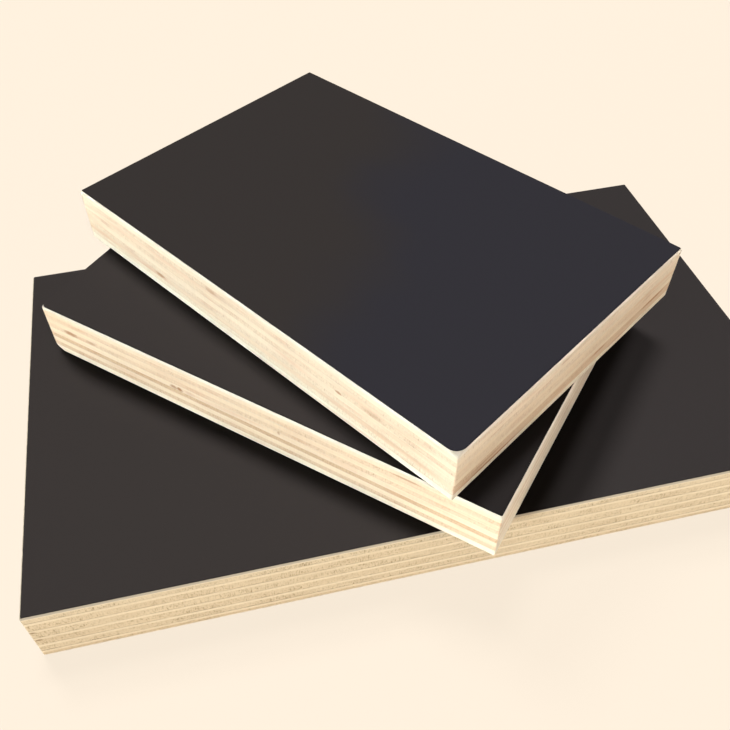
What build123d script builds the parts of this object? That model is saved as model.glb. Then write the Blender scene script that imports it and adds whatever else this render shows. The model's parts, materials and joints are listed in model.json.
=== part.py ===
from build123d import *
import os
from dataclasses import dataclass

# Driving dimensions, in millimetres and degrees

# Black film pressed on both faces of every sheet
FILM_THICKNESS = 0.2
FILM_EDGE_BEVEL = 0.1
FILM_CORNER_RADIUS = 0.4
WORN_CORNER_RADIUS = 3.2

# Sawn and lightly sanded edges of every sheet
UPPER_ARRIS = 0.4
LOWER_ARRIS = 0.2
SAWN_CORNER_RADIUS = 0.5
KNOCKED_CORNER_RADIUS = 1.4

# Top and middle sheets: two pieces of one board, nine plies each
UPPER_LENGTH = 150.0
UPPER_WIDTH = 100.0
UPPER_FACE_PLY = 2.4
UPPER_CROSS_PLY = 1.7
UPPER_INNER_PLY = 1.9
UPPER_CENTRE_PLY = 2.2

# Bottom sheet: a larger, thicker piece of another board, thirteen plies with a thick core
BOTTOM_LENGTH = 220.0
BOTTOM_WIDTH = 130.0
BOTTOM_BACK_PLY = 0.5
BOTTOM_BACK_CROSS_PLY = 1.05
BOTTOM_LOW_CORE_PLY = 2.25
BOTTOM_CORE_PLY = 2.85
BOTTOM_FACE_CROSS_PLY = 1.85
BOTTOM_FACE_PLY = 0.9
BOTTOM_LONG_PLY = 1.1

# How the sheets lie on each other: centre and angle of each upper sheet, seen from above
MIDDLE_X = -12.7
MIDDLE_Y = 12.8
MIDDLE_ANGLE = -43.2
TOP_X = -1.9
TOP_Y = 22.3
TOP_ANGLE = -56.8

# The bare arris beside the film, at the lower end (0) and the upper end (-1) of a sheet
ARRIS = {0: LOWER_ARRIS, -1: UPPER_ARRIS}

# Corners of a sheet, as signs along its length and width
LEFT = (-1, -1)
NEAR = (1, -1)
RIGHT = (1, 1)
FAR = (-1, 1)


@dataclass
class Sheet:
    """One film-faced sheet: its outline, its plies from the underside up, and where its centre lies."""

    name: str
    length: float
    width: float
    plies: list
    x: float
    y: float
    angle: float
    worn: tuple = ()
    knocked: tuple = ()

    def thickness(self):
        return 2 * FILM_THICKNESS + sum(thickness for grain, thickness in self.plies)


def upper_plies():
    """Nine plies with the grain turned at every glue line: the outer ones run along the sheet."""
    half = [
        ("long_grain", UPPER_FACE_PLY),
        ("cross_grain", UPPER_CROSS_PLY),
        ("long_grain", UPPER_INNER_PLY),
        ("cross_grain", UPPER_CROSS_PLY),
    ]
    return half + [("long_grain", UPPER_CENTRE_PLY)] + half[::-1]


def bottom_plies():
    """Thirteen plies: cross-grain ones, thickest in the core, with thin long-grain ones between them."""
    core = [BOTTOM_LOW_CORE_PLY, BOTTOM_CORE_PLY, BOTTOM_CORE_PLY, BOTTOM_CORE_PLY]
    plies = [("long_grain", BOTTOM_BACK_PLY)]
    for thickness in [BOTTOM_BACK_CROSS_PLY] + core:
        plies += [("cross_grain", thickness), ("long_grain", BOTTOM_LONG_PLY)]
    return plies + [("cross_grain", BOTTOM_FACE_CROSS_PLY), ("long_grain", BOTTOM_FACE_PLY)]


def panel_outline(length, width, radii):
    """A rectangle about the origin, each corner rounded by the radius that radii gives for it."""
    outline = Rectangle(length, width)
    for (along, across), radius in radii.items():
        corner = Vector(along * length / 2, across * width / 2)
        outline = fillet(outline.vertices().sort_by_distance(corner)[0], radius)
    return outline


def ply_solid(sheet, thickness, outer_end=None):
    """One veneer ply on the plane z=0. An outer ply is bevelled at its outer end, below (0) or above (-1)."""
    radii = {corner: SAWN_CORNER_RADIUS for corner in (LEFT, NEAR, RIGHT, FAR)}
    radii.update({corner: KNOCKED_CORNER_RADIUS for corner in sheet.knocked})
    ply = extrude(panel_outline(sheet.length, sheet.width, radii), amount=thickness)
    if outer_end is None:
        return ply
    outer_face = ply.faces().sort_by(Axis.Z)[outer_end]
    return chamfer(outer_face.edges(), length=ARRIS[outer_end])


def film_solid(sheet, outer_end):
    """The film on one face, on the plane z=0: it stops at the arris and is worn back at some corners."""
    radii = {corner: FILM_CORNER_RADIUS for corner in (LEFT, NEAR, RIGHT, FAR)}
    radii.update({corner: KNOCKED_CORNER_RADIUS for corner in sheet.knocked})
    radii.update({corner: WORN_CORNER_RADIUS for corner in sheet.worn})
    setback = 2 * ARRIS[outer_end]
    outline = panel_outline(sheet.length - setback, sheet.width - setback, radii)
    film = extrude(outline, amount=FILM_THICKNESS)
    outer_face = film.faces().sort_by(Axis.Z)[outer_end]
    return chamfer(outer_face.edges(), length=FILM_EDGE_BEVEL)


def sheet_layers(sheet):
    """Yields the name and solid of each layer of a sheet from the underside, at z=0, upwards."""
    level = FILM_THICKNESS
    last = len(sheet.plies) - 1
    yield "lower_film", film_solid(sheet, 0)
    for number, (grain, thickness) in enumerate(sheet.plies):
        outer_end = {0: 0, last: -1}.get(number)
        ply = ply_solid(sheet, thickness, outer_end)
        yield f"ply_{number + 1}_{grain}", Pos(0, 0, level) * ply
        level += thickness
    yield "upper_film", Pos(0, 0, level) * film_solid(sheet, -1)


def write_sheet(sheet, level):
    """Writes every layer of a sheet whose underside lies at a level, and returns the level of its top."""
    place = Pos(sheet.x, sheet.y, level) * Rot(0, 0, sheet.angle)
    for name, solid in sheet_layers(sheet):
        placed = place * solid
        placed.label = f"{sheet.name}_{name}"
        export_step(placed, f"parts/{placed.label}.step")
    return level + sheet.thickness()


def stack():
    """The three sheets, from the bottom up."""
    bottom = Sheet("bottom_sheet", BOTTOM_LENGTH, BOTTOM_WIDTH, bottom_plies(), 0.0, 0.0, 0.0)
    upper = (UPPER_LENGTH, UPPER_WIDTH, upper_plies())
    middle = Sheet("middle_sheet", *upper, MIDDLE_X, MIDDLE_Y, MIDDLE_ANGLE, knocked=(LEFT,))
    top = Sheet("top_sheet", *upper, TOP_X, TOP_Y, TOP_ANGLE, worn=(NEAR,))
    return [bottom, middle, top]


def main():
    os.makedirs("parts", exist_ok=True)
    level = 0.0
    for sheet in stack():
        level = write_sheet(sheet, level)


main()
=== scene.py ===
import json
import math

import bpy
import numpy as np
from bpy.props import FloatProperty, FloatVectorProperty, PointerProperty
from mathutils import Matrix, Vector
from mathutils.geometry import convex_hull_2d

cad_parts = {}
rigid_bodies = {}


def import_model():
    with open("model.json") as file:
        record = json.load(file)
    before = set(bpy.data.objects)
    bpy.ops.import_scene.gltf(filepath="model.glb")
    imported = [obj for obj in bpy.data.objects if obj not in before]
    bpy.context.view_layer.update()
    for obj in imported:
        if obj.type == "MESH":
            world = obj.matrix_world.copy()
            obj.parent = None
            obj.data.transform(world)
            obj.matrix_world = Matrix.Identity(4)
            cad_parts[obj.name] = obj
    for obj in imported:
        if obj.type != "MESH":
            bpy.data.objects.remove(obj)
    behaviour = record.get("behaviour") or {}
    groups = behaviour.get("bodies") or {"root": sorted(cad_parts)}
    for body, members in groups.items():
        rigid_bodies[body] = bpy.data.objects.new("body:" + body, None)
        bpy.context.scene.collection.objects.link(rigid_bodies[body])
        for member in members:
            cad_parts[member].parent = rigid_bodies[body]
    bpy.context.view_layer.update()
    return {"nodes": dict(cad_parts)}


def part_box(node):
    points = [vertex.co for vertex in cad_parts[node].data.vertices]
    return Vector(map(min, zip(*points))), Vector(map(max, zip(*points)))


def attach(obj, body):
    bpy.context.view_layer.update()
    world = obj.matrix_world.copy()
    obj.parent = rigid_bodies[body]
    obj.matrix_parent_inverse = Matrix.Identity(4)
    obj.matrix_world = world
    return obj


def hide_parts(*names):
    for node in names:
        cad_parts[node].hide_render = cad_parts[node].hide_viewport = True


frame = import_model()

bl_info = {
    "name": "Film-faced plywood stack",
    "version": (1, 0, 0),
    "blender": (4, 5, 0),
    "location": "3D View > Sidebar > Plywood",
    "description": "Sawn veneer edges, black film and a plain studio for a stack of plywood sheets",
    "category": "Object",
}

MM = 0.001
SHEETS = ("bottom_sheet", "middle_sheet", "top_sheet")


# Where each sheet lies, read from the frame


class Sheet:
    """The place, turn and size of one sheet, in millimetres, read from its plies and films."""

    def __init__(self, name):
        self.name = name
        self.plies = sorted(
            (node for node in frame["nodes"] if node.startswith(name + "_ply_")), key=ply_number
        )
        middle = self.plies[len(self.plies) // 2]
        self.along = long_side_direction(middle)
        self.across = Vector((-self.along.y, self.along.x, 0))
        flat = self.local(node_points(middle))
        low, high = flat.min(0), flat.max(0)
        mid = (low + high) / 2
        self.length, self.width = (high - low)[:2]
        self.centre = self.along * mid[0] + self.across * mid[1]
        self.turn = math.atan2(self.along.y, self.along.x)
        self.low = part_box(name + "_lower_film")[0].z / MM
        self.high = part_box(name + "_upper_film")[1].z / MM

    def local(self, points):
        """Points of the frame as distances along and across the sheet from the origin, and heights."""
        axes = np.array([self.along, self.across, (0, 0, 1)])
        return points @ axes.T

    def world(self, points):
        """Such points back in the frame's directions, in metres."""
        axes = np.array([self.along, self.across, (0, 0, 1)])
        return points @ axes * MM


def ply_number(node):
    return int(node.split("_ply_")[1].split("_")[0])


def node_points(node):
    """The corner points of a node's mesh in millimetres."""
    mesh = frame["nodes"][node].data
    points = np.empty(len(mesh.vertices) * 3)
    mesh.vertices.foreach_get("co", points)
    return points.reshape(-1, 3) / MM


# A face stands upright if its normal rises by less than this
UPRIGHT_LIMIT = 0.1


def long_side_direction(node):
    """The direction of a ply's long sides, as the one of its two directions that points to +X."""
    faces = frame["nodes"][node].data.polygons
    upright = [face for face in faces if abs(face.normal.z) < UPRIGHT_LIMIT]
    normal = max(upright, key=lambda face: face.area).normal
    along = Vector((-normal.y, normal.x, 0)).normalized()
    return along if along.x > 0 else -along


# Outlines and relief, in millimetres


def outline_of(sheet, node, step):
    """The widest outline of a node seen from above, in the sheet's directions, in points a step apart."""
    flat = sheet.local(node_points(node))[:, :2]
    hull = flat[convex_hull_2d([tuple(point) for point in flat])]
    points = []
    for start, end in zip(hull, np.roll(hull, -1, axis=0)):
        pieces = max(1, math.ceil(np.linalg.norm(end - start) / step))
        points += [start + (end - start) * i / pieces for i in range(pieces)]
    outline = np.array(points)
    following = np.roll(outline, -1, axis=0)
    area = np.sum(outline[:, 0] * following[:, 1] - following[:, 0] * outline[:, 1])
    return outline if area > 0 else outline[::-1]


def inward(outline):
    """For each point of an anticlockwise outline, the unit direction into it."""
    tangent = np.roll(outline, -1, axis=0) - np.roll(outline, 1, axis=0)
    tangent /= np.linalg.norm(tangent, axis=1)[:, None]
    return np.stack([-tangent[:, 1], tangent[:, 0]], axis=1)


def arc_length(outline):
    """The distance of each point along the outline, and the whole length round it."""
    gaps = np.linalg.norm(np.roll(outline, -1, axis=0) - outline, axis=1)
    return np.concatenate([[0], np.cumsum(gaps)[:-1]]), gaps.sum()


def smooth_noise(rng, distance, total, cell):
    """Smooth random values from -1 to 1 round an outline, changing about once a cell."""
    count = max(3, round(total / cell))
    values = rng.uniform(-1, 1, count)
    place = distance / total * count
    first = np.floor(place).astype(int)
    share = place - first
    share = share * share * (3 - 2 * share)
    return values[first % count] * (1 - share) + values[(first + 1) % count] * share


def bump_shape(offset):
    """One at zero, falling smoothly to nothing at one."""
    return np.clip(1 - np.abs(offset), 0, 1) ** 2 * (1 + 2 * np.clip(np.abs(offset), 0, 1))


def round_gap(distance, place, total):
    """Signed distance from a place on a closed outline."""
    return (distance - place + total / 2) % total - total / 2


# Meshes

# Edges that turn by more than this many degrees stay sharp
SHARP_ANGLE = 32


def ring_object(name, sheet, rings):
    """A closed solid from rings of points, from the underside up, capped at both ends."""
    count = len(rings[0])
    points = sheet.world(np.concatenate(rings))
    index = np.arange(count)
    following = np.roll(index, -1)
    quads = [
        np.stack([index, following, following + count, index + count], axis=1) + level * count
        for level in range(len(rings) - 1)
    ]
    faces = np.concatenate(quads).tolist()
    top = (len(rings) - 1) * count
    faces.append(index[::-1].tolist())
    faces.append((index + top).tolist())
    mesh = bpy.data.meshes.new(name)
    mesh.from_pydata(points.tolist(), [], faces)
    mesh.shade_smooth()
    mesh.set_sharp_from_angle(angle=math.radians(SHARP_ANGLE))
    piece = bpy.data.objects.new(name, mesh)
    bpy.context.scene.collection.objects.link(piece)
    return piece


def stand_for(piece, node, material):
    """Puts a finished piece in the place of its CAD node."""
    piece.data.materials.append(material)
    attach(piece, "root")
    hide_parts(node)


# Sawn ply edges

# The middle sheet's knocked corner: its signs along and across the sheet, and the size of the wear in mm
KNOCKED_SHEET = "middle_sheet"
KNOCKED_CORNER = (-1, -1)
KNOCK_DEPTH = 0.8
KNOCK_REACH = 3.2
KNOCK_RISE = 3.0

# Millimetres from a glue line to the first row of points, between turns of the sanding along an edge,
# and between turns of the sawn relief
GLUE_ROW = 0.08
SANDING_WAVE = 14
SAWN_WAVE = 0.9

# Least and greatest share of the ply step that a ply stands back by, and how much of it comes and goes
STEP_SHARE = (0.2, 1.0)
STEP_WAVE_SHARE = 0.5

# Depth of the sawn relief where the edge runs along the grain, as a share of that in end grain
LONG_GRAIN_RELIEF = 0.4

# Least and greatest half length of a torn spot, its reach from the glue line, and its share of the depth
TEAR_HALF_LENGTH = (0.4, 1.8)
TEAR_REACH = (0.25, 0.9)
TEAR_SHARE = (0.3, 1.0)


def knocked_away(sheet, outline, rise):
    """How far points of an outline, a rise above the underside, lie inside the knocked lower corner."""
    if sheet.name != KNOCKED_SHEET:
        return 0.0
    centre = np.array([sheet.centre.dot(sheet.along), sheet.centre.dot(sheet.across)])
    corner = centre + np.array(KNOCKED_CORNER) * (sheet.length / 2, sheet.width / 2)
    near = np.clip(1 - np.linalg.norm(outline - corner, axis=1) / KNOCK_REACH, 0, 1)
    return KNOCK_DEPTH * near * (2 - near) * max(0, 1 - rise / KNOCK_RISE) ** 2


def ply_heights(thickness, row):
    """Heights of the rows of points up a ply's edge: close at the glue lines, a row apart between."""
    inner = np.linspace(GLUE_ROW, thickness - GLUE_ROW, max(3, round(thickness / row) + 1))
    return np.concatenate([[0], inner, [thickness]])


def sawn_relief(rng, look, outline, heights, end_grain):
    """How far each point of a ply's edge lies behind the saw's plane, one row of values for each height."""
    distance, total = arc_length(outline)
    thickness = heights[-1]
    share = rng.uniform(*STEP_SHARE)
    share = share + STEP_WAVE_SHARE * smooth_noise(rng, distance, total, SANDING_WAVE)
    sanded = look.step * share + look.end_step * end_grain
    depth = look.roughness * (LONG_GRAIN_RELIEF + (1 - LONG_GRAIN_RELIEF) * end_grain)
    relief = []
    for height in heights:
        rough = depth * (1 + smooth_noise(rng, distance, total, SAWN_WAVE))
        groove = look.groove if height in (0, thickness) else 0.0
        relief.append(np.maximum(sanded, 0) + rough + groove)
    relief = np.array(relief)
    for _ in range(round(look.tears * total / 100)):
        relief += torn_spot(rng, look, distance, total, heights)
    return relief


def torn_spot(rng, look, distance, total, heights):
    """A place where the saw tore fibres out beside a glue line."""
    place = rng.uniform(0, total)
    half = rng.uniform(*TEAR_HALF_LENGTH)
    reach = rng.uniform(*TEAR_REACH)
    edge = heights[-1] if rng.random() < 0.5 else 0.0
    sideways = bump_shape(round_gap(distance, place, total) / half)
    upright = bump_shape((heights - edge) / reach)
    return look.tear_depth * rng.uniform(*TEAR_SHARE) * upright[:, None] * sideways[None, :]


def sawn_ply(sheet, node, look, rng):
    """A ply with the relief of its sawn edge; the outermost plies keep the CAD's bevel."""
    low, high = (corner.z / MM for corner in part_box(node))
    outline = outline_of(sheet, node, look.spacing)
    into = inward(outline)
    heights = ply_heights(high - low, look.row)
    across = np.abs(into @ fibre_direction(node))
    relief = sawn_relief(rng, look, outline, heights, across)
    number = ply_number(node)
    side = "lower" if number == 1 else "upper"
    bevel = arris_of(sheet, side)
    rings = []
    for height, row in zip(heights, relief):
        to_film = {1: height, len(sheet.plies): heights[-1] - height}.get(number, math.inf)
        inset = row * min(1, to_film / bevel) + max(0, bevel - to_film)
        inset = inset + knocked_away(sheet, outline, low + height - sheet.low)
        flat = outline + into * inset[:, None]
        rings.append(np.column_stack([flat, np.full(len(flat), low + height)]))
    return ring_object(node + "_sawn", sheet, rings)


def fibre_direction(node):
    """The grain of a ply in its sheet's directions."""
    return np.array([1.0, 0.0]) if node.endswith("long_grain") else np.array([0.0, 1.0])


def arris_of(sheet, side):
    """The width of the bare bevel between the lower or upper film and the sawn edge."""
    film = sheet.local(node_points(f"{sheet.name}_{side}_film"))
    return (sheet.width - np.ptp(film[:, 1])) / 2


# Film

# Width of the flat rim inside a film's rounded edge, in mm, and the number of steps in that rounding
FILM_RIM = 0.15
ROUND_STEPS = 3

# Millimetres between the coarse and between the fine turns of a film's ragged edge
COARSE_RAG = 1.1
FINE_RAG = 0.45


def pressed_film(sheet, node, look, rng):
    """The film on one face, with its edge cut a little ragged by the saw."""
    low, high = (corner.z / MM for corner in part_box(node))
    outline = outline_of(sheet, node, look.spacing)
    into = inward(outline)
    distance, total = arc_length(outline)
    coarse = smooth_noise(rng, distance, total, COARSE_RAG)
    fine = smooth_noise(rng, distance, total, FINE_RAG)
    ragged = look.raggedness * (1 + 0.6 * coarse + 0.4 * fine) / 2
    ragged = ragged + knocked_away(sheet, outline, low - sheet.low)
    rings = []
    for rise, inset in film_profile(high - low, look.bevel):
        flat = outline + into * (ragged + inset)[:, None]
        rings.append(np.column_stack([flat, np.full(len(flat), rise)]))
    if node.endswith("lower_film"):
        for ring in rings:
            ring[:, 2] = high - low - ring[:, 2]
        rings.reverse()
    for ring in rings:
        ring[:, 2] += low
    return ring_object(node + "_pressed", sheet, rings)


def film_profile(thickness, bevel):
    """Height and inset of each ring of a film's edge: upright, then rounded, then a flat rim."""
    profile = [(0.0, 0.0)]
    for step in range(ROUND_STEPS + 1):
        turn = math.pi / 2 * step / ROUND_STEPS
        profile.append((thickness - bevel + bevel * math.sin(turn), bevel - bevel * math.cos(turn)))
    return profile + [(thickness, bevel + FILM_RIM)]


# Shader graphs


class Graph:
    """A node tree, with short calls that add a node, feed its sockets and give its output."""

    def __init__(self, tree):
        self.tree = tree

    def add(self, kind, inputs=None, **settings):
        node = self.tree.nodes.new(kind)
        for name, value in settings.items():
            setattr(node, name, value)
        for socket, value in (inputs or {}).items():
            self.feed(node.inputs[socket], value)
        return node

    def feed(self, socket, value):
        if isinstance(value, bpy.types.NodeSocket):
            self.tree.links.new(value, socket)
        else:
            socket.default_value = value

    def math(self, operation, *values, clamp=False):
        node = self.add("ShaderNodeMath", operation=operation, use_clamp=clamp)
        for socket, value in zip(node.inputs, values):
            self.feed(socket, value)
        return node.outputs[0]

    def vector(self, operation, *values):
        node = self.add("ShaderNodeVectorMath", operation=operation)
        sockets = (node.inputs[0], node.inputs["Scale"]) if operation == "SCALE" else node.inputs
        for socket, value in zip(sockets, values):
            self.feed(socket, value)
        return node.outputs["Value" if operation in ("DOT_PRODUCT", "LENGTH") else "Vector"]

    def ramp(self, value, low, high, to_low=0.0, to_high=1.0):
        """The value from low to high, as a smooth step from to_low to to_high."""
        node = self.add("ShaderNodeMapRange", interpolation_type="SMOOTHSTEP")
        for socket, number in zip(node.inputs, (value, low, high, to_low, to_high)):
            self.feed(socket, number)
        return node.outputs[0]

    def mix(self, share, first, second, blend="MIX"):
        node = self.add("ShaderNodeMix", data_type="RGBA", blend_type=blend)
        for socket, value in ((0, share), (6, first), (7, second)):
            self.feed(node.inputs[socket], value)
        return node.outputs[2]

    def noise(self, vector, seed, detail=2.0, roughness=0.5):
        node = self.add(
            "ShaderNodeTexNoise",
            {"Vector": vector, "W": seed, "Scale": 1.0, "Detail": detail, "Roughness": roughness},
            noise_dimensions="4D",
        )
        return node.outputs["Fac"]

    def place(self, group, inputs):
        node = self.add("ShaderNodeGroup", node_tree=group)
        for name, value in inputs.items():
            self.feed(node.inputs[name], value)
        return node


SOCKETS = {"value": "NodeSocketFloat", "vector": "NodeSocketVector", "colour": "NodeSocketColor"}


def new_group(name, inputs, outputs):
    """An empty shader group with named sockets, and its graph, inputs and output node."""
    tree = bpy.data.node_groups.new(name, "ShaderNodeTree")
    for socket, kind in inputs.items():
        tree.interface.new_socket(socket, in_out="INPUT", socket_type=SOCKETS[kind])
    for socket, kind in outputs.items():
        tree.interface.new_socket(socket, in_out="OUTPUT", socket_type=SOCKETS[kind])
    graph = Graph(tree)
    entry = graph.add("NodeGroupInput").outputs
    leave = graph.add("NodeGroupOutput").inputs
    return graph, entry, leave


def once(build):
    """Keeps a shader group, so that it is built once and placed in every material that needs it."""
    kept = []

    def get():
        if not kept:
            kept.append(build())
        return kept[0]

    return get


@once
def sheet_coordinates():
    """Millimetres along a sheet, across it and above the floor, measured from its centre."""
    graph, entry, leave = new_group(
        "Sheet coordinates", {"Centre": "vector", "Turn": "vector"}, {"Millimetres": "vector"}
    )
    place = graph.add("ShaderNodeTexCoord").outputs["Object"]
    laid = graph.add(
        "ShaderNodeMapping",
        {"Vector": place, "Location": entry["Centre"], "Rotation": entry["Turn"]},
        vector_type="TEXTURE",
    )
    graph.feed(leave["Millimetres"], graph.vector("MULTIPLY", laid.outputs[0], (1 / MM,) * 3))
    return graph.tree


@once
def end_grain():
    """How squarely the surface cuts the fibres: 0 along the grain, 1 across it."""
    graph, entry, leave = new_group("End grain", {"Fibre": "vector"}, {"Mask": "value"})
    facing = graph.add("ShaderNodeTexCoord").outputs["Normal"]
    share = graph.math("ABSOLUTE", graph.vector("DOT_PRODUCT", facing, entry["Fibre"]))
    graph.feed(leave["Mask"], graph.ramp(share, 0.35, 0.8))
    return graph.tree


@once
def stretched_noise():
    """Noise whose grains have their own size along the fibres, across them and upwards."""
    graph, entry, leave = new_group(
        "Stretched noise",
        {"Millimetres": "vector", "Grain": "vector", "Seed": "value", "Detail": "value"},
        {"Value": "value"},
    )
    scaled = graph.vector("DIVIDE", entry["Millimetres"], entry["Grain"])
    graph.feed(leave["Value"], graph.noise(scaled, entry["Seed"], entry["Detail"]))
    return graph.tree


@once
def dark_mark():
    """A small knot or resin streak: an uneven spot about a centre, fading out at its reach."""
    graph, entry, leave = new_group(
        "Dark mark",
        {"Millimetres": "vector", "Centre": "vector", "Reach": "vector", "Strength": "value"},
        {"Mask": "value"},
    )
    offset = graph.vector("SUBTRACT", entry["Millimetres"], entry["Centre"])
    size = graph.vector("LENGTH", graph.vector("DIVIDE", offset, entry["Reach"]))
    ragged = graph.noise(graph.vector("MULTIPLY", entry["Millimetres"], (0.9, 0.9, 2.5)), 3.0, 3.0)
    size = graph.math("ADD", size, graph.math("MULTIPLY", graph.math("SUBTRACT", ragged, 0.5), 0.9))
    mask = graph.ramp(size, 0.3, 1.15, 1.0, 0.0)
    graph.feed(leave["Mask"], graph.math("MULTIPLY", mask, entry["Strength"]))
    return graph.tree


def grained_noise(graph, entry, place, grain, shift, detail=2.0):
    """Stretched noise at one of a group's places, from the group's seed with a shift of its own."""
    inputs = {
        "Millimetres": entry[place],
        "Grain": grain,
        "Seed": graph.math("ADD", entry["Seed"], shift),
        "Detail": detail,
    }
    return graph.place(stretched_noise(), inputs).outputs["Value"]


SURFACE_OUTPUTS = {"Color": "colour", "Roughness": "value", "Height": "value"}

VENEER_INPUTS = {
    "Millimetres": "vector",
    "Fibre millimetres": "vector",
    "End grain": "value",
    "Long colour": "colour",
    "End colour": "colour",
    "Blush colour": "colour",
    "Dark colour": "colour",
    "Sanded colour": "colour",
    "Upward colour": "colour",
    "Long tone": "vector",
    "End tone": "vector",
    "Streaks": "value",
    "Pores": "value",
    "Checks": "value",
    "Low": "value",
    "High": "value",
    "Sanded from": "value",
    "Seed": "value",
}

# Grain of the veneer's noises: millimetres along the fibres, across them and upwards
CLOUD_GRAIN = (24, 11, 2.0)
RING_GRAIN = (30, 8, 0.3)
FIBRE_GRAIN = (7, 0.4, 0.12)
PORE_GRAIN = (8, 0.34, 0.9)
CHECK_GRAIN = (9, 0.36, 1.3)
PATCH_GRAIN = (16, 16, 4)

# Grain of the saw marks: millimetres along the sheet, across it and upwards
SAW_GRAIN = (0.5, 0.5, 9.0)

# Millimetres from a joint between plies where its glue line starts to fade and where it is gone
GLUE_FADE = (0.02, 0.13)

# Millimetres above the foot of the upper bevel where the sanded band starts and where it is full
SANDED_FADE = (-1.0, 0.2)

# How far a face looks up, from 0 to 1, where it starts to take the upward colour and where it takes it fully
UPWARD_FACING = (0.3, 0.65)

# Roughness of the veneer, and how much the fibres add to it
VENEER_ROUGHNESS = 0.62
FIBRE_ROUGHNESS = 0.12


@once
def veneer_surface():
    """Sawn rotary-cut veneer: streaks along the grain, pores and lathe checks where the grain is cut."""
    graph, entry, leave = new_group("Veneer surface", VENEER_INPUTS, SURFACE_OUTPUTS)
    fibre = "Fibre millimetres"
    cloud = grained_noise(graph, entry, fibre, CLOUD_GRAIN, 0.0)
    rings = grained_noise(graph, entry, fibre, RING_GRAIN, 11.3, 3.0)
    fibres = grained_noise(graph, entry, fibre, FIBRE_GRAIN, 23.7)
    saw = grained_noise(graph, entry, "Millimetres", SAW_GRAIN, 0.0, 1.0)
    height = graph.add("ShaderNodeSeparateXYZ", {"Vector": entry[fibre]}).outputs["Z"]
    speck = cut_pores(graph, entry)
    glue = glue_lines(graph, entry, height, rings)

    colour = streaked_wood(graph, entry, cloud, rings, fibres)
    colour = graph.mix(speck, colour, entry["Dark colour"])
    colour = graph.mix(glue, colour, entry["Dark colour"])
    colour = toned_wood(graph, entry, colour, cloud, saw)
    graph.feed(leave["Color"], sanded_and_upward_wood(graph, entry, colour, height, fibres))

    dull = graph.math("MULTIPLY", fibres, FIBRE_ROUGHNESS)
    graph.feed(leave["Roughness"], graph.math("ADD", dull, VENEER_ROUGHNESS))
    relief = graph.math("ADD", graph.math("MULTIPLY", fibres, 0.6), graph.math("MULTIPLY", saw, 0.5))
    relief = graph.math("SUBTRACT", relief, graph.math("MULTIPLY", speck, 0.8))
    graph.feed(leave["Height"], graph.math("SUBTRACT", relief, graph.math("MULTIPLY", glue, 0.6)))
    return graph.tree


def streaked_wood(graph, entry, cloud, rings, fibres):
    """The wood's colour along and across the grain, with warmer clouds, growth rings and fibres."""
    colour = graph.mix(entry["End grain"], entry["Long colour"], entry["End colour"])
    blush = graph.math("MULTIPLY", graph.ramp(cloud, 0.46, 0.74), entry["Streaks"], clamp=True)
    colour = graph.mix(blush, colour, entry["Blush colour"])
    fine = graph.math("MULTIPLY", graph.ramp(fibres, 0.45, 0.8), 0.7)
    streak = graph.math("ADD", graph.ramp(rings, 0.5, 0.75), fine)
    strength = graph.math("MULTIPLY", entry["Streaks"], 0.6)
    streak = graph.math("MULTIPLY", streak, strength, clamp=True)
    return graph.mix(streak, colour, entry["Blush colour"])


def cut_pores(graph, entry):
    """Where pores and lathe checks darken the end grain, more in some patches than in others."""
    fibre = "Fibre millimetres"
    pores = grained_noise(graph, entry, fibre, PORE_GRAIN, 31.1, 1.0)
    checks = grained_noise(graph, entry, fibre, CHECK_GRAIN, 47.9, 1.0)
    patches = grained_noise(graph, entry, fibre, PATCH_GRAIN, 59.3, 1.0)
    pore = graph.math("MULTIPLY", graph.ramp(pores, 0.48, 0.74), entry["Pores"])
    check = graph.math("MULTIPLY", graph.ramp(checks, 0.54, 0.7), entry["Checks"])
    patch = graph.ramp(patches, 0.38, 0.62, 0.6, 1.4)
    speck = graph.math("MULTIPLY", graph.math("ADD", pore, check), patch)
    return graph.math("MULTIPLY", speck, entry["End grain"], clamp=True)


def glue_lines(graph, entry, height, rings):
    """A thin dark line at the lower and the upper end of a ply, fainter in places."""
    below = graph.math("ABSOLUTE", graph.math("SUBTRACT", height, entry["Low"]))
    above = graph.math("ABSOLUTE", graph.math("SUBTRACT", entry["High"], height))
    seam = graph.ramp(graph.math("MINIMUM", below, above), *GLUE_FADE, 1.0, 0.0)
    return graph.math("MULTIPLY", seam, graph.ramp(rings, 0.3, 0.7, 0.02, 0.16))


def toned_wood(graph, entry, colour, cloud, saw):
    """The colour times the ply's own tone, with slow clouds and saw marks."""
    clouds = graph.ramp(cloud, 0.25, 0.75, 1.03, 0.96)
    marks = graph.ramp(saw, 0.3, 0.7, 0.97, 1.02)
    tone = graph.mix(entry["End grain"], entry["Long tone"], entry["End tone"])
    tone = graph.vector("SCALE", tone, graph.math("MULTIPLY", clouds, marks))
    return graph.mix(1.0, colour, tone, blend="MULTIPLY")


def sanded_and_upward_wood(graph, entry, colour, height, fibres):
    """The colour with the pale sanded band below the film, and another colour where the edge faces up."""
    above = graph.math("SUBTRACT", height, entry["Sanded from"])
    worn = graph.ramp(fibres, 0.3, 0.8, 0.9, 0.4)
    sanded = graph.math("MULTIPLY", graph.ramp(above, *SANDED_FADE), worn)
    colour = graph.mix(sanded, colour, entry["Sanded colour"])
    facing = graph.add("ShaderNodeTexCoord").outputs["Normal"]
    upwards = graph.vector("DOT_PRODUCT", facing, (0.0, 0.0, 1.0))
    return graph.mix(graph.ramp(upwards, *UPWARD_FACING), colour, entry["Upward colour"])


FILM_INPUTS = {
    "Millimetres": "vector",
    "Warm colour": "colour",
    "Sheen colour": "colour",
    "Painted sheen share": "value",
    "Towards sheen": "vector",
    "Tone": "value",
    "Roughness": "value",
    "Seed": "value",
}

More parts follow.
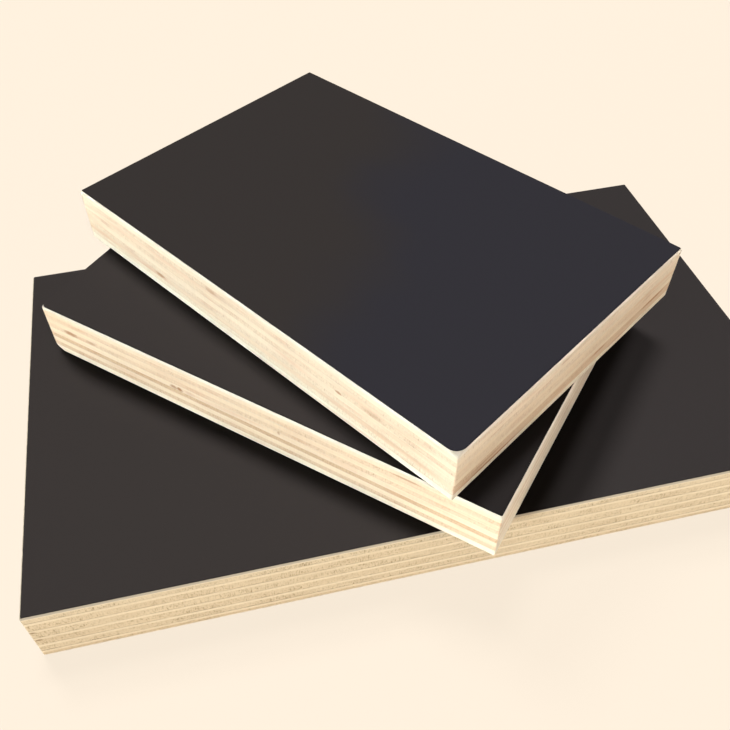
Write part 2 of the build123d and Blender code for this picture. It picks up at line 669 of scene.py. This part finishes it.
# Grain of the film's noises, in millimetres along the sheet, across it and upwards
SHEEN_GRAIN = (45, 30, 30)
WAVE_GRAIN = (70, 3.5, 30)
SMUDGE_GRAIN = (18, 14, 30)
DUST_GRAIN = (0.5, 0.5, 0.5)

# Millimetres from a sheet's centre between which a painted cool sheen comes over its film, and how far
# clouds shift that turn
SHEEN_TURN = (-16.0, 20.0)
SHEEN_CLOUDS = 40.0


@once
def film_surface():
    """Pressed black film: a painted cool sheen drifts over a sheet, and the veneer below shows as faint long
    waves.
    """
    graph, entry, leave = new_group("Film surface", FILM_INPUTS, SURFACE_OUTPUTS)
    place = "Millimetres"
    clouds = grained_noise(graph, entry, place, SHEEN_GRAIN, 5.0)
    waves = grained_noise(graph, entry, place, WAVE_GRAIN, 17.0, 3.0)
    smudges = grained_noise(graph, entry, place, SMUDGE_GRAIN, 29.0, 3.0)
    dust = grained_noise(graph, entry, place, DUST_GRAIN, 37.0, 1.0)

    # The film's colour turns cooler across the sheet as a painted sheen: this colour stands in for a
    # reflection
    along = graph.vector("DOT_PRODUCT", entry[place], entry["Towards sheen"])
    cloudy = graph.math("MULTIPLY", graph.math("SUBTRACT", clouds, 0.5), SHEEN_CLOUDS)
    drift = graph.math("ADD", along, cloudy)
    cool = graph.math("MULTIPLY", graph.ramp(drift, *SHEEN_TURN), entry["Painted sheen share"])
    tint = graph.mix(cool, entry["Warm colour"], entry["Sheen colour"])
    graph.feed(leave["Color"], graph.vector("SCALE", tint, entry["Tone"]))

    smudged = graph.math("MULTIPLY", graph.math("SUBTRACT", smudges, 0.5), 0.10)
    waved = graph.math("MULTIPLY", graph.math("SUBTRACT", waves, 0.5), 0.05)
    uneven = graph.math("ADD", smudged, waved)
    graph.feed(leave["Roughness"], graph.math("ADD", entry["Roughness"], uneven))
    graph.feed(leave["Height"], graph.math("ADD", waves, graph.math("MULTIPLY", dust, 0.12)))
    return graph.tree


def new_material(name):
    """A material with an empty graph, its shader and its output."""
    material = bpy.data.materials.new(name)
    material.use_nodes = True
    material.node_tree.nodes.clear()
    graph = Graph(material.node_tree)
    shader = graph.add("ShaderNodeBsdfPrincipled")
    graph.add("ShaderNodeOutputMaterial", {"Surface": shader.outputs[0]})
    return material, graph, shader


def place_sheet_coordinates(graph, sheet, quarter_turn=False):
    """A sheet's millimetres in a material; with a quarter turn, its width comes first."""
    turn = sheet.turn + (math.pi / 2 if quarter_turn else 0)
    inputs = {"Centre": tuple(sheet.centre * MM), "Turn": (0, 0, turn)}
    return graph.place(sheet_coordinates(), inputs).outputs["Millimetres"]


# Marks on the long and the short sides that show most: the share of the side and of the thickness where
# each lies, its half length and half height in mm, and its strength
LONG_MARKS = {
    "top_sheet": (
        (0.249, 0.30, 2.9, 0.8, 0.75),
        (0.419, 0.79, 3.0, 0.9, 0.45),
        (0.430, 0.80, 7.0, 1.3, 0.22),
        (0.748, 0.57, 1.5, 0.6, 0.8),
        (0.828, 0.62, 4.6, 1.2, 0.35),
        (0.942, 0.80, 2.0, 0.9, 0.25),
        (0.075, 0.60, 4.0, 0.8, 0.2),
        (0.900, 0.31, 12.0, 0.6, 0.22),
    ),
    "middle_sheet": (
        (0.067, 0.61, 3.2, 1.1, 0.8),
        (0.122, 0.61, 2.2, 0.8, 0.45),
        (0.327, 0.48, 1.6, 0.9, 0.75),
        (0.342, 0.48, 1.3, 1.0, 0.95),
        (0.365, 0.48, 2.5, 1.2, 0.25),
        (0.570, 0.55, 0.6, 0.8, 0.5),
        (0.829, 0.86, 6.0, 0.6, 0.6),
    ),
    "bottom_sheet": ((0.004, 0.62, 1.2, 0.5, 0.75), (0.006, 0.42, 1.4, 0.6, 0.75)),
}
SHORT_MARKS = {
    "top_sheet": (
        (0.15, 0.155, 15.0, 0.65, 0.85),
        (0.13, 0.25, 9.0, 0.5, 0.4),
        (0.62, 0.31, 4.0, 0.6, 0.55),
        (0.90, 0.30, 7.5, 0.6, 0.75),
        (0.73, 0.145, 9.0, 0.6, 0.5),
        (0.43, 0.89, 3.0, 0.5, 0.4),
        (0.86, 0.51, 5.0, 0.5, 0.3),
    ),
}

# How deep a mark goes in from its side, in mm
MARK_DEPTH = 1.0

# How light each ply is where its edge runs along the grain, from the lowest ply of a sheet up. The lowest
# ply of the top and middle sheets is lighter partly for its pale face veneer and partly as painted light
# against the shade at the sheet's foot
LONG_TONES = {
    "top_sheet": (1.2, 0.80, 0.94, 1.04, 1.04, 0.99, 1.02, 1.05, 1.06),
    "middle_sheet": (1.2, 1.03, 1.05, 1.05, 1.05, 1.05, 1.0, 1.06, 1.03),
    "bottom_sheet": (0.95, 1.0, 0.97, 1.0, 1.0, 1.0, 1.0, 1.0, 1.0, 1.0, 1.0, 1.0, 1.0),
}

# The same where it cuts the grain, with the same painted light on the lowest ply of the top and middle
# sheets
END_TONES = {
    "top_sheet": (1.25, 1.11, 0.85, 1.04, 1.03, 1.0, 1.1, 1.01, 1.15),
    "middle_sheet": (1.2, 0.90, 1.1, 0.79, 1.0, 0.97, 1.0, 0.96, 1.15),
    "bottom_sheet": (1.0, 0.90, 1.0, 0.99, 1.0, 0.98, 1.0, 1.0, 1.0, 0.99, 1.0, 1.02, 1.0),
}

# How much warmer than the board's colour the long sides and the short sides of each sheet are
WARMTH = {"top_sheet": (0.02, 0.02), "middle_sheet": (0.06, -0.03), "bottom_sheet": (0.0, 0.0)}

# How much warmer a ply is, as a share of how much darker it is
DARK_WARMTH = 0.5

# Strength of the veneer's bump and its depth in metres, and how much the veneer reflects
VENEER_BUMP = (0.6, 0.00012)
VENEER_SPECULAR = 0.25


def ply_tones(sheet, number, long_grain):
    """Factors on a ply's colour, where its edge runs along the grain and where it cuts the grain."""
    tones = (LONG_TONES[sheet.name][number - 1], END_TONES[sheet.name][number - 1])
    warmths = WARMTH[sheet.name] if long_grain else WARMTH[sheet.name][::-1]
    factors = []
    for tone, warmth in zip(tones, warmths):
        warmth += DARK_WARMTH * (1 - tone)
        factors.append((tone * (1 + warmth), tone, tone * (1 - warmth)))
    return factors


def veneer_material(sheet, node, look):
    """The material of one ply."""
    material, graph, shader = new_material(node)
    long_grain = node.endswith("long_grain")
    here = place_sheet_coordinates(graph, sheet)
    fibre = here if long_grain else place_sheet_coordinates(graph, sheet, quarter_turn=True)
    direction = sheet.along if long_grain else sheet.across
    ends = graph.place(end_grain(), {"Fibre": tuple(direction)}).outputs["Mask"]
    low, high = (corner.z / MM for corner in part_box(node))
    number = ply_number(node)
    sanded_from = high - arris_of(sheet, "upper") if number == len(sheet.plies) else high + 1
    along_tone, across_tone = ply_tones(sheet, number, long_grain)
    settings = {
        "Millimetres": here,
        "Fibre millimetres": fibre,
        "End grain": ends,
        "Long colour": (*look.long_colour, 1),
        "End colour": (*look.end_colour, 1),
        "Blush colour": (*look.blush_colour, 1),
        "Dark colour": (*look.dark_colour, 1),
        "Sanded colour": (*look.sanded_colour, 1),
        "Upward colour": (*look.bared_colour, 1),
        "Long tone": along_tone,
        "End tone": across_tone,
        "Streaks": look.streaks,
        "Pores": look.pores,
        "Checks": look.checks,
        "Low": low,
        "High": high,
        "Sanded from": sanded_from,
        "Seed": number * 1.7 + SHEETS.index(sheet.name) * 19.0,
    }
    surface = graph.place(veneer_surface(), settings)
    colour = surface.outputs["Color"]
    for centre, reach, strength in marks_of(sheet):
        if low - reach[2] <= centre[2] <= high + reach[2]:
            spot = {"Millimetres": here, "Centre": centre, "Reach": reach, "Strength": strength}
            mask = graph.place(dark_mark(), spot).outputs["Mask"]
            colour = graph.mix(mask, colour, (*look.knot_colour, 1))
    graph.feed(shader.inputs["Base Color"], colour)
    graph.feed(shader.inputs["Roughness"], surface.outputs["Roughness"])
    add_bump(graph, shader, surface, *VENEER_BUMP)
    shader.inputs["Specular IOR Level"].default_value = VENEER_SPECULAR
    return material


def marks_of(sheet):
    """The centre and the reach of each knot and streak of a sheet, in its millimetres, and its strength."""
    for share, rise, half_length, half_height, strength in LONG_MARKS[sheet.name]:
        height = sheet.low + rise * (sheet.high - sheet.low)
        centre = ((share - 0.5) * sheet.length, -sheet.width / 2, height)
        yield centre, (half_length, MARK_DEPTH, half_height), strength
    for share, rise, half_length, half_height, strength in SHORT_MARKS.get(sheet.name, ()):
        height = sheet.low + rise * (sheet.high - sheet.low)
        centre = (sheet.length / 2, (share - 0.5) * sheet.width, height)
        yield centre, (MARK_DEPTH, half_length, half_height), strength


def add_bump(graph, shader, surface, strength, distance):
    """Raises a surface by its height, as a bump of a distance in metres."""
    inputs = {"Height": surface.outputs["Height"], "Strength": strength, "Distance": distance}
    graph.feed(shader.inputs["Normal"], graph.add("ShaderNodeBump", inputs).outputs[0])


# Direction along and across a sheet in which the painted cool sheen on the film grows
TOWARDS_SHEEN = (0.87, 0.5, 0.0)

# How much painted cool sheen each sheet's film takes, and how light the film is
SHEEN_SHARES = {"top_sheet": 1.0, "middle_sheet": 0.15, "bottom_sheet": 0.15}
FILM_TONES = {"top_sheet": 1.0, "middle_sheet": 1.13, "bottom_sheet": 1.1}

# The same as for the veneer
FILM_BUMP = (0.25, 0.00003)
FILM_SPECULAR = 0.012


def film_material(sheet, node, look):
    """The material of one film."""
    material, graph, shader = new_material(node)
    settings = {
        "Millimetres": place_sheet_coordinates(graph, sheet),
        "Warm colour": (*look.warm_colour, 1),
        "Sheen colour": (*look.cool_colour, 1),
        "Painted sheen share": SHEEN_SHARES[sheet.name],
        "Towards sheen": TOWARDS_SHEEN,
        "Tone": FILM_TONES[sheet.name],
        "Roughness": look.roughness,
        "Seed": 7.0 + 13.0 * SHEETS.index(sheet.name),
    }
    surface = graph.place(film_surface(), settings)
    graph.feed(shader.inputs["Base Color"], surface.outputs["Color"])
    graph.feed(shader.inputs["Roughness"], surface.outputs["Roughness"])
    add_bump(graph, shader, surface, *FILM_BUMP)
    shader.inputs["Specular IOR Level"].default_value = FILM_SPECULAR
    return material


# Settings that a user would change


def length_property(name, description, default):
    return FloatProperty(name=name, description=description, default=default, min=0.0, soft_max=5.0)


def share_property(name, description, default):
    return FloatProperty(
        name=name, description=description, default=default, min=0.0, max=1.0, subtype="FACTOR"
    )


def amount_property(name, description, default):
    """A count or a strength, with no upper limit."""
    return FloatProperty(name=name, description=description, default=default, min=0.0)


def colour_property(name, description, default):
    return FloatVectorProperty(
        name=name, description=description, default=default, min=0.0, max=1.0, size=3, subtype="COLOR"
    )


class UpperVeneer(bpy.types.PropertyGroup):
    """The nine-ply board of the middle and top sheets."""

    long_colour: colour_property("Along the grain", "Edges that run with the grain", (0.83, 0.73, 0.56))
    end_colour: colour_property("End grain", "Edges that cut the grain", (0.79, 0.68, 0.51))
    blush_colour: colour_property("Blush", "Warmer streaks and clouds", (0.76, 0.54, 0.36))
    dark_colour: colour_property("Dark grain", "Pores, checks and glue lines", (0.48, 0.33, 0.20))
    sanded_colour: colour_property("Sanded arris", "Bare wood of the sanded arris", (0.88, 0.84, 0.74))
    bared_colour: colour_property("Upward faces", "Wood beside the film", (0.84, 0.78, 0.66))
    knot_colour: colour_property("Knots", "Knots and resin streaks", (0.44, 0.20, 0.08))
    streaks: share_property("Streaks", "How strongly clouds, rings and fibres show", 0.62)
    pores: share_property("Pores", "How strongly pores show in end grain", 0.3)
    checks: share_property("Checks", "How strongly lathe checks show in end grain", 0.2)
    spacing: length_property("Point spacing", "Distance between points along an edge, in mm", 0.5)
    row: length_property("Row spacing", "Distance between rows of points up a ply, in mm", 0.4)
    step: length_property("Ply step", "How far plies stand back from each other, in mm", 0.02)
    end_step: length_property("End grain step", "How much more end grain is sanded back, in mm", 0.02)
    groove: length_property("Glue groove", "Depth of the line between two plies, in mm", 0.01)
    roughness: length_property("Sawn relief", "Depth of the sawn texture, in mm", 0.015)
    tears: amount_property("Tears", "Torn spots on each 100 mm of a ply's edge", 3.0)
    tear_depth: length_property("Tear depth", "Depth of the deepest torn spot, in mm", 0.08)


class BottomVeneer(bpy.types.PropertyGroup):
    """The thirteen-ply board of the bottom sheet, with thick porous core plies."""

    long_colour: colour_property("Along the grain", "Edges that run with the grain", (0.75, 0.63, 0.44))
    end_colour: colour_property("End grain", "Edges that cut the grain", (0.67, 0.55, 0.37))
    blush_colour: colour_property("Blush", "Warmer streaks and clouds", (0.61, 0.46, 0.28))
    dark_colour: colour_property("Dark grain", "Pores, checks and glue lines", (0.36, 0.27, 0.15))
    sanded_colour: colour_property("Sanded arris", "Bare wood of the sanded arris", (0.78, 0.68, 0.51))
    bared_colour: colour_property("Upward faces", "Wood beside the film", (0.60, 0.53, 0.405))
    knot_colour: colour_property("Knots", "Knots and resin streaks", (0.22, 0.13, 0.06))
    streaks: share_property("Streaks", "How strongly clouds, rings and fibres show", 0.2)
    pores: share_property("Pores", "How strongly pores show in end grain", 0.5)
    checks: share_property("Checks", "How strongly lathe checks show in end grain", 0.5)
    spacing: length_property("Point spacing", "Distance between points along an edge, in mm", 0.55)
    row: length_property("Row spacing", "Distance between rows of points up a ply, in mm", 0.45)
    step: length_property("Ply step", "How far plies stand back from each other, in mm", 0.035)
    end_step: length_property("End grain step", "How much more end grain is sanded back, in mm", 0.04)
    groove: length_property("Glue groove", "Depth of the line between two plies, in mm", 0.025)
    roughness: length_property("Sawn relief", "Depth of the sawn texture, in mm", 0.03)
    tears: amount_property("Tears", "Torn spots on each 100 mm of a ply's edge", 6.0)
    tear_depth: length_property("Tear depth", "Depth of the deepest torn spot, in mm", 0.12)


class FilmLook(bpy.types.PropertyGroup):
    """The black film on both faces of every sheet."""

    warm_colour: colour_property("Warm tint", "Film at the warm end of a sheet", (0.0110, 0.0096, 0.0092))
    # The cool tint is a painted sheen, a colour that stands in for a reflection on the film
    cool_colour: colour_property("Painted cool sheen", "Film at the cool end of a sheet", (0.0092, 0.0089, 0.0110))
    roughness: share_property("Roughness", "How dull the film is", 0.5)
    spacing: length_property("Point spacing", "Distance between points along an edge, in mm", 0.35)
    bevel: length_property("Bevel", "Rounding of the film's upper edge, in mm", 0.1)
    raggedness: length_property("Raggedness", "How unevenly the film's edge is cut, in mm", 0.05)


class StudioLook(bpy.types.PropertyGroup):
    """Floor, lights and camera."""

    floor_colour: colour_property("Floor", "Colour of the plain floor", (0.025, 0.022, 0.019))
    backdrop_colour: colour_property("Backdrop", "Glow of the floor and the backdrop", (1.0, 0.88, 0.73))
    floor_glow: amount_property("Floor glow", "How strongly the floor glows", 0.912)
    floor_size: FloatProperty(name="Floor size", description="Side of the floor", default=6.0, unit="LENGTH")
    sky_colour: colour_property("Surroundings", "Colour of the light from all round", (1.0, 0.97, 0.93))
    sky_strength: amount_property("Surroundings light", "Light from all round", 0.12)
    top_strength: amount_property("Top light", "Soft light from above", 5.9)
    back_strength: amount_property("Back light", "Soft light from behind", 6.9)
    left_strength: amount_property("Left light", "Soft light on the long edges", 3.08)
    right_strength: amount_property("Right light", "Soft light on the short edges", 1.33)


SETTINGS = {
    "plywood_upper": UpperVeneer,
    "plywood_bottom": BottomVeneer,
    "plywood_film": FilmLook,
    "plywood_studio": StudioLook,
}


# Operators

# Seeds of the random relief: a ply's number is added to its sheet's seed
PLY_SEEDS = {"bottom_sheet": 100, "middle_sheet": 200, "top_sheet": 300}
FILM_SEED = 41


def make_plies(name, look):
    """Every ply of one sheet."""
    sheet = Sheet(name)
    for node in sheet.plies:
        rng = np.random.default_rng(PLY_SEEDS[name] + ply_number(node))
        piece = sawn_ply(sheet, node, look, rng)
        stand_for(piece, node, veneer_material(sheet, node, look))


class PLYWOOD_OT_top_plies(bpy.types.Operator):
    """Make the sawn plies of the top sheet"""

    bl_idname = "plywood.top_plies"
    bl_label = "Top sheet plies"

    def execute(self, context):
        make_plies("top_sheet", context.scene.plywood_upper)
        return {"FINISHED"}


class PLYWOOD_OT_middle_plies(bpy.types.Operator):
    """Make the sawn plies of the middle sheet"""

    bl_idname = "plywood.middle_plies"
    bl_label = "Middle sheet plies"

    def execute(self, context):
        make_plies("middle_sheet", context.scene.plywood_upper)
        return {"FINISHED"}


class PLYWOOD_OT_bottom_plies(bpy.types.Operator):
    """Make the sawn plies of the bottom sheet"""

    bl_idname = "plywood.bottom_plies"
    bl_label = "Bottom sheet plies"

    def execute(self, context):
        make_plies("bottom_sheet", context.scene.plywood_bottom)
        return {"FINISHED"}


class PLYWOOD_OT_films(bpy.types.Operator):
    """Make the black film on both faces of every sheet"""

    bl_idname = "plywood.films"
    bl_label = "Films"

    def execute(self, context):
        look = context.scene.plywood_film
        rng = np.random.default_rng(FILM_SEED)
        for name in SHEETS:
            sheet = Sheet(name)
            for side in ("lower", "upper"):
                node = f"{name}_{side}_film"
                piece = pressed_film(sheet, node, look, rng)
                stand_for(piece, node, film_material(sheet, node, look))
        return {"FINISHED"}


class PLYWOOD_OT_studio(bpy.types.Operator):
    """Make the floor, the lights and the camera"""

    bl_idname = "plywood.studio"
    bl_label = "Studio"

    def execute(self, context):
        look = context.scene.plywood_studio
        make_floor(look)
        make_lights(look)
        make_camera()
        context.scene.view_settings.view_transform = "Standard"
        return {"FINISHED"}


# Studio

FLOOR_ROUGHNESS = 0.9

# How wide each soft sun looks, in degrees, and its colour
ABOVE_SPREAD = 15
LEFT_SPREAD = 18
RIGHT_SPREAD = 20
ABOVE_COLOUR = (1.0, 0.98, 0.96)
LEFT_COLOUR = (0.98, 1.0, 1.0)
RIGHT_COLOUR = (1.0, 0.845, 0.745)

# Strength of the suns that light only some pieces, as a share of the top light or the back light
ARRIS_SHARE = 0.22
TOP_BELOW_SHARE = 0.77
BACK_BELOW_SHARE = 1.34

BOTTOM_FILM = "bottom_sheet_upper_film_pressed"


def make_floor(look):
    """A flat floor that glows, so that it stays even and takes only a faint shadow."""
    half = look.floor_size / 2
    mesh = bpy.data.meshes.new("studio_floor")
    corners = [(-half, -half, 0), (half, -half, 0), (half, half, 0), (-half, half, 0)]
    mesh.from_pydata(corners, [], [(0, 1, 2, 3)])
    floor = bpy.data.objects.new("studio_floor", mesh)
    bpy.context.scene.collection.objects.link(floor)
    material, graph, shader = new_material("studio_floor")
    shader.inputs["Base Color"].default_value = (*look.floor_colour, 1)
    shader.inputs["Roughness"].default_value = FLOOR_ROUGHNESS
    shader.inputs["Specular IOR Level"].default_value = 0.0
    shader.inputs["Emission Color"].default_value = (*look.backdrop_colour, 1)
    shader.inputs["Emission Strength"].default_value = look.floor_glow
    mesh.materials.append(material)


def soft_sun(name, heading, elevation, strength, spread, colour):
    """A wide soft light from a heading and an elevation in degrees; heading 0 is +Y, 90 is +X."""
    light = bpy.data.lights.new(name, "SUN")
    light.energy = strength
    light.angle = math.radians(spread)
    light.color = colour
    lamp = bpy.data.objects.new(name, light)
    turn = math.radians(heading)
    rise = math.radians(elevation)
    flat = math.cos(rise)
    towards = Vector((math.sin(turn) * flat, math.cos(turn) * flat, math.sin(rise)))
    lamp.rotation_euler = towards.to_track_quat("Z", "Y").to_euler()
    bpy.context.scene.collection.objects.link(lamp)
    return lamp


def link_set(name, state, chosen):
    """A collection for a light's links, with the pieces that a test of their names chooses."""
    collection = bpy.data.collections.new(name)
    for piece in bpy.context.scene.objects:
        if piece.name.endswith(("_sawn", "_pressed")) and chosen(piece.name):
            collection.objects.link(piece)
    for entry in collection.collection_objects:
        entry.light_linking.link_state = state
    return collection


def is_ply(piece):
    return piece.endswith("_sawn")


def is_upper_ply(piece):
    return is_ply(piece) and piece.startswith(("top", "middle"))


def make_lights(look):
    """Low suns light everything; suns from above light the floor, the films and the upper sheets' arrises.

    The two suns for the bottom sheet's film pass through the top sheet, which throws no shadow on it.
    """
    make_surroundings(look)
    upper = link_set("not_from_above", "EXCLUDE", lambda piece: is_ply(piece) or piece == BOTTOM_FILM)
    lower = link_set("bottom_film", "INCLUDE", lambda piece: piece == BOTTOM_FILM)
    arrises = link_set("upper_plies", "INCLUDE", is_upper_ply)
    open_above = link_set("not_top_sheet", "EXCLUDE", lambda piece: piece.startswith("top_sheet"))
    arris_strength = look.top_strength * ARRIS_SHARE
    top_below = look.top_strength * TOP_BELOW_SHARE
    back_below = look.back_strength * BACK_BELOW_SHARE
    for name, heading, elevation, strength, lit, blockers in (
        ("top_light", 0, 70, look.top_strength, upper, None),
        ("back_light", -24, 52, look.back_strength, upper, None),
        ("arris_light", 0, 90, arris_strength, arrises, None),
        ("top_light_below", -10, 67.5, top_below, lower, open_above),
        ("back_light_below", -28, 47.5, back_below, lower, open_above),
    ):
        lamp = soft_sun(name, heading, elevation, strength, ABOVE_SPREAD, ABOVE_COLOUR)
        lamp.visible_glossy = False
        lamp.light_linking.receiver_collection = lit
        lamp.light_linking.blocker_collection = blockers
    soft_sun("left_light", -120, 9, look.left_strength, LEFT_SPREAD, LEFT_COLOUR)
    soft_sun("right_light", 120, 10, look.right_strength, RIGHT_SPREAD, RIGHT_COLOUR)


def make_surroundings(look):
    """Soft light from all round; seen directly, it has the colour of the backdrop."""
    world = bpy.data.worlds.new("studio")
    world.use_nodes = True
    tree = world.node_tree
    tree.nodes.clear()
    graph = Graph(tree)
    seen = graph.add("ShaderNodeLightPath").outputs["Is Camera Ray"]
    sky = background(graph, look.sky_colour, look.sky_strength)
    backdrop = background(graph, look.backdrop_colour, 1.0)
    mixed = graph.add("ShaderNodeMixShader", {0: seen, 1: sky, 2: backdrop})
    graph.add("ShaderNodeOutputWorld", {"Surface": mixed.outputs[0]})
    bpy.context.scene.world = world


def background(graph, colour, strength):
    inputs = {"Color": (*colour, 1), "Strength": strength}
    return graph.add("ShaderNodeBackground", inputs).outputs[0]


# The camera of the photograph, worked out from the straight edges of the sheets. Its place and its sensor
# are in millimetres, its angles in degrees, its focal length and centre in pixels of the photograph
PHOTO_SIDE = 730
CAMERA_PLACE = (-48.7, -168.7, 204.5)
CAMERA_HEADING = -11.11
CAMERA_PITCH = 48.79
CAMERA_ROLL = -1.95
FOCAL_PIXELS = 813.7
CENTRE_PIXEL = (340.8, 389.7)
SENSOR = 36.0


def make_camera():
    camera = bpy.data.cameras.new("photo_camera")
    camera.sensor_width = SENSOR
    camera.lens = FOCAL_PIXELS / PHOTO_SIDE * SENSOR
    camera.shift_x = (PHOTO_SIDE / 2 - CENTRE_PIXEL[0]) / PHOTO_SIDE
    camera.shift_y = (CENTRE_PIXEL[1] - PHOTO_SIDE / 2) / PHOTO_SIDE
    camera.clip_start = 0.01
    stand = bpy.data.objects.new("photo_camera", camera)
    stand.location = Vector(CAMERA_PLACE) * MM
    heading = Matrix.Rotation(math.radians(CAMERA_HEADING), 4, "Z")
    pitch = Matrix.Rotation(math.radians(90 - CAMERA_PITCH), 4, "X")
    roll = Matrix.Rotation(math.radians(CAMERA_ROLL), 4, "Z")
    stand.rotation_euler = (heading @ pitch @ roll).to_euler()
    bpy.context.scene.collection.objects.link(stand)
    bpy.context.scene.camera = stand


STEPS = (
    PLYWOOD_OT_bottom_plies,
    PLYWOOD_OT_middle_plies,
    PLYWOOD_OT_top_plies,
    PLYWOOD_OT_films,
    PLYWOOD_OT_studio,
)


class PLYWOOD_PT_stack(bpy.types.Panel):
    """Lists the steps that dress the stack"""

    bl_idname = "PLYWOOD_PT_stack"
    bl_label = "Plywood stack"
    bl_space_type = "VIEW_3D"
    bl_region_type = "UI"
    bl_category = "Plywood"

    def draw(self, context):
        for step in STEPS:
            self.layout.operator(step.bl_idname)
        for name, group in SETTINGS.items():
            box = self.layout.box()
            box.label(text=group.__doc__)
            for field in group.__annotations__:
                box.prop(getattr(context.scene, name), field)


def register():
    for name, group in SETTINGS.items():
        bpy.utils.register_class(group)
        setattr(bpy.types.Scene, name, PointerProperty(type=group))
    for step in STEPS:
        bpy.utils.register_class(step)
    bpy.utils.register_class(PLYWOOD_PT_stack)


def unregister():
    bpy.utils.unregister_class(PLYWOOD_PT_stack)
    for step in reversed(STEPS):
        bpy.utils.unregister_class(step)
    for name, group in reversed(SETTINGS.items()):
        delattr(bpy.types.Scene, name)
        bpy.utils.unregister_class(group)


def main():
    register()
    bpy.ops.plywood.bottom_plies()
    bpy.ops.plywood.middle_plies()
    bpy.ops.plywood.top_plies()
    bpy.ops.plywood.films()
    bpy.ops.plywood.studio()


if __name__ == "__main__":
    main()
